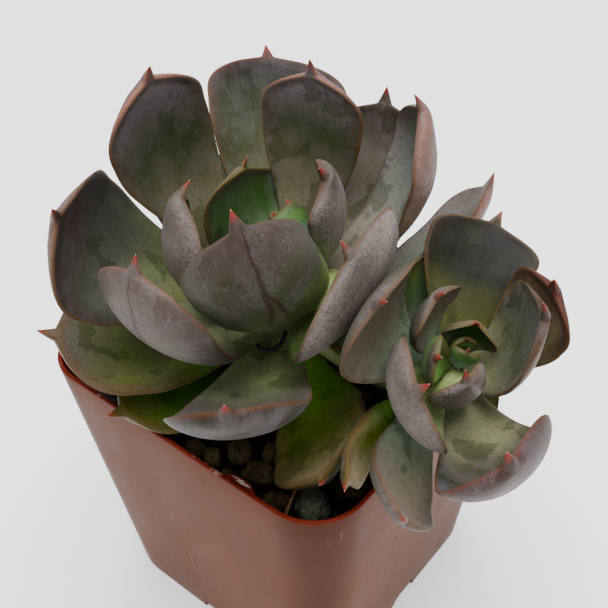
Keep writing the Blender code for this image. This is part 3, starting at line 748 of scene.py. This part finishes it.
def makeTab(pot, material):
    radius = (pot["tabChord"] ** 2 / 4 + pot["tabReach"] ** 2) / (2 * pot["tabReach"])
    halfAngle = math.asin(pot["tabChord"] / 2 / radius)
    inner = -(pot["top"] / 2 - pot["wall"])
    bm = bmesh.new()
    points = [(pot["tabX"] + pot["tabChord"] / 2, inner - 0.4)]
    for step in range(25):
        angle = math.pi / 2 - halfAngle + 2 * halfAngle * step / 24
        points.append((pot["tabX"] + radius * math.cos(angle),
                       inner + pot["tabReach"] - radius + radius * math.sin(angle)))
    points.append((pot["tabX"] - pot["tabChord"] / 2, inner - 0.4))
    top = pot["height"] - 0.06
    middle = Vector((pot["tabX"], inner, 0))
    rings = []
    for drop, shrink in ((0.75, 1), (0.2, 1), (0.06, 0.985), (0, 0.95), (0, 0.84), (0.12, 0.80)):
        rings.append([bm.verts.new((middle.x + (px - middle.x) * shrink,
                                    middle.y + (py - middle.y) * shrink, top - drop)) for px, py in points])
    bridgeRings(bm, rings)
    bm.faces.new(rings[0])
    bm.faces.new(rings[-1])
    return meshPiece("thumbTab", bm, material)


def makeNotchCutter(pot, index, material):
    run = pot["notchDepth"] + 4
    half, high, bend = pot["notchWidth"] / 2, pot["notchHeight"], pot["notchRound"]
    outline = [(-half, -high)]
    for step in range(13):                     # rounded top corners
        angle = math.pi - math.pi / 2 * step / 12
        outline.append((-half + bend + bend * math.cos(angle), high - bend + bend * math.sin(angle)))
    outline += [(-px, pz) for px, pz in reversed(outline)]
    turn = Matrix.Rotation(math.pi / 2 * index, 3, "Z")
    bm = bmesh.new()
    outer = pot["foot"] / 2 + 2
    rings = [[bm.verts.new(turn @ Vector((reach, px, pz))) for px, pz in outline]
             for reach in (outer, outer - run)]
    bridgeRings(bm, rings)
    bm.faces.new(rings[0])
    bm.faces.new(rings[1])
    return meshPiece(f"notchCutter{index}", bm, material)


makePot(potSettings)
print("pot moulded")


# Potting mix: a block of dark soil, crumbs scattered on it, and the larger pumice.
soilSettings = {
    "top": 49.0, "gap": 0.3, "stemSocket": 3.8, "socketFloor": 45.7, "rings": 34,
    "crumbs": 1500, "crumbSpan": 29.4, "crumbCorner": 8.0, "seed": 7,
}


def makeSoilMaterial():
    material, shader, place = startMaterial("pottingMix", 0.95, 0.25)
    lumps = cellsAt(place, 700)
    fine = noiseAt(place, 1500, 4, 0.7)
    shade = blended(fade(fine, 0.35, 0.7), colour(12, 10, 8), colour(34, 28, 20))
    shade = blended(fade(lumps, 0.5, 0.2) * 0.3, shade, colour(50, 42, 30))
    feed(material.node_tree, shade, shader.inputs["Base Color"])
    addBump(shader, lumps + fine * 0.6, 0.9, 0.0006)
    return material


def makeSoil(pot, soil, material):
    bm = bmesh.new()
    inset = pot["wall"] + soil["gap"]
    low = pot["floor"] + soil["gap"]
    rings = [squareRing(bm, pot, low, inset, 12), squareRing(bm, pot, soil["top"] - 0.6, inset, 12),
             squareRing(bm, pot, soil["top"] - 0.1, inset + 0.4, 12)]
    edge = [corner.co.copy() for corner in rings[-1]]
    for step in range(1, soil["rings"]):
        share = 1 - step / soil["rings"]
        ring = []
        for corner in edge:
            x, y = corner.x * share, corner.y * share
            radius = math.hypot(x, y)
            if radius < soil["stemSocket"]:
                scale = soil["stemSocket"] / math.hypot(corner.x, corner.y)
                x, y = corner.x * scale, corner.y * scale
            ring.append(bm.verts.new((x, y, soil["top"] - 0.1)))
        if all(math.hypot(corner.co.x, corner.co.y) < soil["stemSocket"] + 0.01 for corner in ring):
            for corner in ring:
                bm.verts.remove(corner)
            break
        rings.append(ring)
    well = [bm.verts.new((soil["stemSocket"] * corner.x / math.hypot(corner.x, corner.y),
                          soil["stemSocket"] * corner.y / math.hypot(corner.x, corner.y),
                          soil["socketFloor"])) for corner in edge]
    rings.append(well)
    bridgeRings(bm, rings)
    closeRing(bm, rings[0], (0, 0, low))
    closeRing(bm, well, (0, 0, soil["socketFloor"]))
    return meshPiece("pottingSoil", bm, material)


def makeGritTree():
    inputs = {"Half Span": 30.0, "Corner": 8.0, "Count": 1000, "Smallest": 0.35, "Largest": 0.95,
              "Level": 50.0, "Seed": 1, "Material": None}
    tree, identifiers, given = startTree("soilGrit", inputs)
    floor = addNode(tree, "GeometryNodeMeshGrid")
    feed(tree, given["Half Span"] * 2, floor.inputs["Size X"])
    feed(tree, given["Half Span"] * 2, floor.inputs["Size Y"])
    scatter = addNode(tree, "GeometryNodeDistributePointsOnFaces")
    tree.links.new(floor.outputs["Mesh"], scatter.inputs["Mesh"])
    feed(tree, given["Count"] / (given["Half Span"] * given["Half Span"] * 4), scatter.inputs["Density"])
    feed(tree, given["Seed"], scatter.inputs["Seed"])
    x, y, z = Term(tree, addNode(tree, "GeometryNodeInputPosition").outputs[0]).parts()
    straight = given["Half Span"] - given["Corner"]
    overX = (x.calculate("ABSOLUTE") - straight).calculate("MAXIMUM", 0.0)
    overY = (y.calculate("ABSOLUTE") - straight).calculate("MAXIMUM", 0.0)
    outside = (overX * overX + overY * overY).calculate("SQRT") - given["Corner"]
    middle = given["Corner"] * 0.6 - (x * x + y * y).calculate("SQRT")
    away = outside.calculate("MAXIMUM", middle).calculate("GREATER_THAN", 0.0)
    kept = passOn(tree, "GeometryNodeDeleteGeometry", scatter.outputs["Points"], Selection=away)

    cube = addNode(tree, "GeometryNodeMeshCube")
    for label in ("Vertices X", "Vertices Y", "Vertices Z"):
        cube.inputs[label].default_value = 3
    at = Term(tree, addNode(tree, "GeometryNodeInputPosition").outputs[0])
    crumbPlace = at.vector("NORMALIZE").scaled(0.7 + noiseAt(at, 1.7) * 0.6)
    crumb = passOn(tree, "GeometryNodeSetPosition", cube.outputs["Mesh"], Position=crumbPlace)

    def randomValue(kind, low, high, seedStep):
        node = addNode(tree, "FunctionNodeRandomValue", data_type=kind)
        sockets = {"FLOAT": (2, 3, 1), "FLOAT_VECTOR": (0, 1, 0)}[kind]
        feed(tree, low, node.inputs[sockets[0]])
        feed(tree, high, node.inputs[sockets[1]])
        feed(tree, given["Seed"] + seedStep, node.inputs["Seed"])
        return Term(tree, node.outputs[sockets[2]])

    place = addNode(tree, "GeometryNodeInstanceOnPoints")
    tree.links.new(kept, place.inputs["Points"])
    tree.links.new(crumb, place.inputs["Instance"])
    feed(tree, randomValue("FLOAT_VECTOR", (0.0, 0.0, 0.0), (6.3, 6.3, 6.3), 1), place.inputs["Rotation"])
    size = randomValue("FLOAT", given["Smallest"], given["Largest"], 2)
    stretch = randomValue("FLOAT_VECTOR", (0.6, 0.6, 0.6), (1.25, 1.25, 1.25), 3)
    feed(tree, stretch.scaled(size), place.inputs["Scale"])
    lifted = passOn(tree, "GeometryNodeTransform", place.outputs[0], Scale=(mm, mm, mm),
                     Translation=joined(tree, 0.0, 0.0, given["Level"]).scaled(mm))
    endTree(tree, lifted, given["Material"])
    return tree, identifiers


soilMaterial = makeSoilMaterial()
soilPiece = makeSoil(potSettings, soilSettings, soilMaterial)
settle(soilPiece, "potting_soil", "soil")
gritTree, gritIdentifiers = makeGritTree()
soilGrit = growPiece("soilGrit", gritTree, gritIdentifiers, {
    "Half Span": soilSettings["crumbSpan"], "Corner": soilSettings["crumbCorner"],
    "Count": soilSettings["crumbs"], "Level": soilSettings["top"], "Seed": soilSettings["seed"],
    "Material": soilMaterial})
settle(soilGrit, "potting_soil")
print("soil filled, grit faces:", len(soilGrit.data.polygons))


# Pumice: each stone's place, half axes and turn.
pumiceStones = [
    ((0.5, -26.6), (2.0, 1.8, 1.5), 10), ((4.0, -26.0), (1.5, 2.0, 1.4), 60),
    ((7.4, -22.8), (2.7, 2.2, 1.9), 150), ((11.5, -19.6), (1.9, 2.4, 1.6), 20),
    ((12.9, -24.2), (3.1, 2.1, 2.0), 35), ((8.8, -27.2), (1.8, 1.2, 1.0), 170),
    ((17.0, -21.4), (2.2, 2.1, 1.6), 100), ((18.2, -26.2), (2.4, 1.7, 1.6), 30),
    ((23.4, -24.0), (3.5, 2.8, 2.3), 110), ((25.6, -17.2), (3.0, 2.3, 1.7), 45),
    ((21.6, -17.8), (1.5, 1.3, 1.2), 0), ((-6.6, -25.8), (2.6, 2.0, 1.7), 75),
    ((-13.4, -25.2), (2.3, 2.7, 1.6), 130),
]
greyStones = (7, 9)


def makePumiceMaterial(name, pale, dark, fleck):
    material, shader, place = startMaterial(name, 0.9, 0.25)
    cloud = noiseAt(place, 420, 4, 0.6)
    patch = noiseAt(place, 900, 5, 0.75)
    pores = cellsAt(place, 1500)
    fine = noiseAt(place, 4200, 3, 0.7)
    shade = blended(fade(cloud + (patch - 0.5) * 0.5, 0.36, 0.64), colour(*dark), colour(*pale))
    shade = blended(fade(fine, 0.5, 0.66) * 0.6, shade, colour(*fleck))
    shade = blended(fade(patch, 0.46, 0.34) * 0.55, shade, colour(22, 18, 10))
    shade = blended(fade(pores, 0.22, 0.1) * fade(cloud, 0.42, 0.52), shade, colour(8, 7, 5))
    feed(material.node_tree, shade, shader.inputs["Base Color"])
    addBump(shader, fade(pores, 0.08, 0.3) * 0.6 + fine * 0.5 + patch, 0.8, 0.0003)
    return material


pumiceMaterials = [makePumiceMaterial("pumiceOlive", (74, 62, 30), (34, 28, 12), (110, 96, 62)),
                   makePumiceMaterial("pumiceGrey", (70, 70, 58), (30, 31, 26), (120, 122, 108))]


def makePumiceTree():
    inputs = {"Half Axes": (2.0, 2.0, 1.5), "Centre": (0.0, 0.0, 50.0), "Turn": 0.0, "Seed": 1.0,
              "Knobbly": 0.16, "Detail": 5, "Material": None}
    tree, identifiers, given = startTree("pumiceStone", inputs)
    ball = addNode(tree, "GeometryNodeMeshIcoSphere")
    ball.inputs["Radius"].default_value = 1
    feed(tree, given["Detail"], ball.inputs["Subdivisions"])
    at = Term(tree, addNode(tree, "GeometryNodeInputPosition").outputs[0])
    moved = at.vector("ADD", joined(tree, given["Seed"] * 3.1, given["Seed"] * 1.7, 0.0))
    lumps = (noiseAt(moved, 1.1, 2) - 0.5) * given["Knobbly"] * 3
    facets = (cellsAt(moved, 1.15) - 0.5) * given["Knobbly"] * 1.8
    pits = fade(cellsAt(moved, 5.5), 0.28, 0.1) * -0.03
    grown = at.scaled(0.96 + lumps - facets + pits)
    grown = grown.vector("MULTIPLY", given["Half Axes"])
    turned = addNode(tree, "ShaderNodeVectorRotate", rotation_type="Z_AXIS")
    feed(tree, grown, turned.inputs["Vector"])
    feed(tree, given["Turn"] * (math.pi / 180), turned.inputs["Angle"])
    final = Term(tree, turned.outputs[0]).vector("ADD", given["Centre"]).scaled(mm)
    placed = passOn(tree, "GeometryNodeSetPosition", ball.outputs["Mesh"], Position=final)
    endTree(tree, passOn(tree, "GeometryNodeSetShadeSmooth", placed), given["Material"])
    return tree, identifiers


pumiceTree, pumiceIdentifiers = makePumiceTree()
for number, ((x, y), halfAxes, turn) in enumerate(pumiceStones, start=1):
    stone = growPiece(f"pumiceStone{number:02d}", pumiceTree, pumiceIdentifiers, {
        "Half Axes": halfAxes, "Centre": (x, y, soilSettings["top"] + 0.2 + halfAxes[2]),
        "Turn": float(turn), "Seed": float(number), "Knobbly": 0.16, "Detail": 5,
        "Material": pumiceMaterials[1 if number in greyStones else 0]})
    settle(stone, "pumice", f"pumice_{number:02d}")
print("pumice laid:", len(pumiceStones))


# Stems, dried thread and straw.
stemSettings = {
    "main": [((0, 0, 46), 3.2), ((0, 0, 56), 2.7), ((0, 0, 62), 2.6), ((0, 0, 67), 2.2), ((0, 0, 70), 0.8)],
    "offsetRun": [((3.3, 0.2, 59), 1.6), ((9, 0.4, 56.8), 1.7), ((16, 0.9, 56), 1.8), ((23, 1.5, 57), 1.8)],
    "offsetAxis": [(0, 1.6), (4, 1.5), (7, 1.2), (9, 0.5)],
    "thread": [(7.6, -17.2, 71), (8.6, -17.5, 70.8), (9.6, -17, 70.8), (10.2, -15.6, 70.8), (10, -14, 70.8),
               (9.2, -12.4, 71)],
    "threadRadius": 0.35,
    "straw": [(20.4, -24.2, 53.6), (20.8, -26.2, 52.6), (21.2, -28.2, 51)], "strawRadius": 0.3,
}


def smoothPath(path, steps):
    points = [Vector(point) for point, radius in path]
    radii = [radius for point, radius in path]
    out = []
    for i in range(len(points) - 1):
        before, after = points[max(i - 1, 0)], points[min(i + 2, len(points) - 1)]
        for step in range(steps):
            t = step / steps
            a, b = points[i], points[i + 1]
            point = 0.5 * (2 * a + (b - before) * t + (2 * before - 5 * a + 4 * b - after) * t * t
                           + (3 * a - before - 3 * b + after) * t ** 3)
            out.append((point, radii[i] + (radii[i + 1] - radii[i]) * t))
    out.append((points[-1], radii[-1]))
    return out


def tubePiece(name, path, material, sides=24, steps=8, rings=0.0):
    smooth = smoothPath(path, steps)
    bm = bmesh.new()
    across, loops = None, []
    for i, (point, radius) in enumerate(smooth):
        along = (smooth[min(i + 1, len(smooth) - 1)][0] - smooth[max(i - 1, 0)][0]).normalized()
        start = along.orthogonal() if across is None else across
        across = (start - along * start.dot(along)).normalized()
        other = along.cross(across)
        swell = radius * (1 + rings * math.sin(i * 2.4))
        loops.append([bm.verts.new(point + swell * (math.cos(a) * across + math.sin(a) * other))
                      for a in (2 * math.pi * side / sides for side in range(sides))])
    bridgeRings(bm, loops)
    closeRing(bm, loops[0], smooth[0][0])
    closeRing(bm, loops[-1], smooth[-1][0])
    return meshPiece(name, bm, material, 60)


def makeStemMaterial():
    material, shader, place = startMaterial("stemFlesh", 0.5)
    cloud = noiseAt(place, 400, 3, 0.6)
    shade = blended(fade(cloud, 0.3, 0.7), colour(140, 150, 84), colour(168, 172, 112))
    feed(material.node_tree, shade, shader.inputs["Base Color"])
    addBump(shader, noiseAt(place, 1500, 2), 0.3, 0.0002)
    return material


def makeDryMaterial(name, pale, dark):
    material, shader, place = startMaterial(name, 0.7)
    grainNoise = noiseAt(place, 1800, 3, 0.6)
    feed(material.node_tree, blended(fade(grainNoise, 0.35, 0.7), colour(*dark), colour(*pale)),
         shader.inputs["Base Color"])
    addBump(shader, grainNoise, 0.5, 0.0002)
    return material


def makeStems(settings):
    flesh = makeStemMaterial()
    mainStem = tubePiece("mainStem", settings["main"], flesh, rings=0.02)
    settle(mainStem, "stem_flesh", "main_stem")
    towards = math.radians(offsetRosette["Lean To"])
    hinge = Vector((-math.sin(towards), math.cos(towards), 0))
    lean = Matrix.Rotation(math.radians(offsetRosette["Lean"]), 3, hinge)
    axis = [(Vector(offsetRosette["Base"]) + lean @ Vector((0, 0, height)), radius)
            for height, radius in settings["offsetAxis"]]
    offsetStem = tubePiece("offsetStem", settings["offsetRun"] + axis, flesh, rings=0.02)
    settle(offsetStem, "stem_flesh", "offset_stem")
    thread = tubePiece("driedThread", [(point, settings["threadRadius"]) for point in settings["thread"]],
                       makeDryMaterial("blackenedThread", (38, 30, 24), (16, 13, 11)), 12, 8)
    settle(thread, "dry_matter", "dried_thread")
    straw = tubePiece("dryStraw", [(point, settings["strawRadius"]) for point in settings["straw"]],
                      makeDryMaterial("dryStrawSkin", (112, 76, 44), (74, 48, 28)), 12, 8)
    settle(straw, "dry_matter", "dry_straw")


makeStems(stemSettings)
print("stems and litter made")


# Floor and light.
studioSettings = {
    "floorSize": 6.0, "floorColour": (249, 249, 247), "floorGlow": 0.35,
    "worldColour": (236, 240, 243), "worldStrength": 0.76,
    "keyPower": 22.0, "keySize": 0.9, "keyPlace": (0.0, 0.05, 0.95),
    "fillPower": 1.5, "fillSize": 0.5, "fillPlace": (0.7, -0.6, 0.5), "aim": (0.0, 0.0, 0.06),
}


def makeStudio(settings):
    bpy.ops.mesh.primitive_plane_add(size=settings["floorSize"])
    floor = bpy.context.object
    floor.name = "floor"
    material, shader, place = startMaterial("paperFloor", 0.9, 0.2)
    shader.inputs["Base Color"].default_value = colour(*settings["floorColour"])
    shader.inputs["Emission Color"].default_value = colour(*settings["floorColour"])
    shader.inputs["Emission Strength"].default_value = settings["floorGlow"]
    floor.data.materials.append(material)
    world = bpy.context.scene.world or bpy.data.worlds.new("studio")
    bpy.context.scene.world = world
    world.use_nodes = True
    background = world.node_tree.nodes["Background"]
    background.inputs["Color"].default_value = colour(*settings["worldColour"])
    background.inputs["Strength"].default_value = settings["worldStrength"]
    for name in ("key", "fill"):
        lamp = bpy.data.lights.new(name + "Light", "AREA")
        lamp.energy, lamp.size = settings[name + "Power"], settings[name + "Size"]
        holder = bpy.data.objects.new(name + "Light", lamp)
        bpy.context.scene.collection.objects.link(holder)
        holder.location = settings[name + "Place"]
        aim = Vector(settings["aim"]) - holder.location
        holder.rotation_euler = aim.to_track_quat("-Z", "Y").to_euler()


makeStudio(studioSettings)
print("studio lit")
